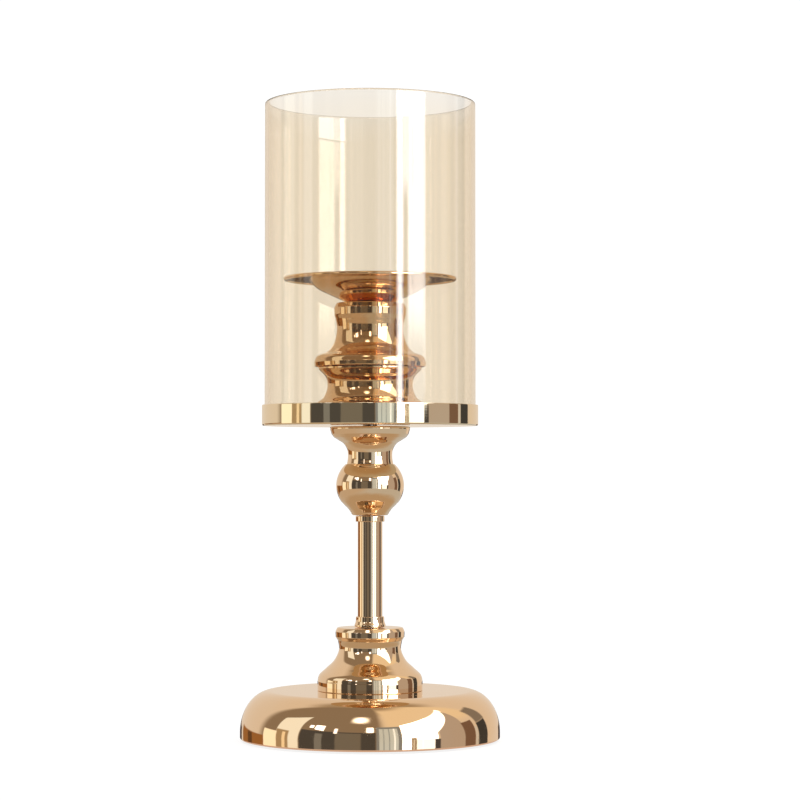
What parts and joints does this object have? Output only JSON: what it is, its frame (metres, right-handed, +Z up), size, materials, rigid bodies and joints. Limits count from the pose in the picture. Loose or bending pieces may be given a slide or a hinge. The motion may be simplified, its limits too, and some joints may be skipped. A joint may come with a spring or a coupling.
{
  "type": "hurricane candle lantern",
  "caption": "Tall pedestal candle holder: a round domed foot, slim turned stem and ball, shallow gallery with a lift-off glass tube round a raised candle dish.",
  "frame": {"origin": "centre of the felt foot's underside, on the surface that the object stands on", "axes": "+Z up along the stand's turning axis; the object is round, so +X and +Y are free choices"},
  "size_m": [0.1472, 0.1472, 0.3623],
  "materials": {
    "gold": "mirror-polished champagne gold plating on spun steel",
    "glass": "clear, with a pale amber lustre",
    "iron": "as cast",
    "steel": "zinc plated",
    "board": "pressed fibre board",
    "felt": "black felt"
  },
  "bodies": {
    "stand": {"felt_pad": "felt", "bottom_board": "board", "base_weight": "iron", "base_dome": "gold", "base_washer": "steel", "base_nut": "steel", "tie_rod": "steel", "pedestal": "gold", "lower_ferrule": "gold", "stem_tube": "gold", "upper_ferrule": "gold", "ball_knop": "gold", "neck_bell": "gold", "glass_gallery": "gold", "column_spool": "gold", "column_body": "gold", "candle_dish": "gold", "dish_washer": "gold", "dish_nut": "gold"},
    "shade": {"hurricane_glass": "glass"}
  },
  "joints": [
    {"name": "glass_lift", "type": "slide", "parent": "stand", "child": "shade", "axis": [0, 0, 1], "range_m": [0, 0.12]}
  ]
}
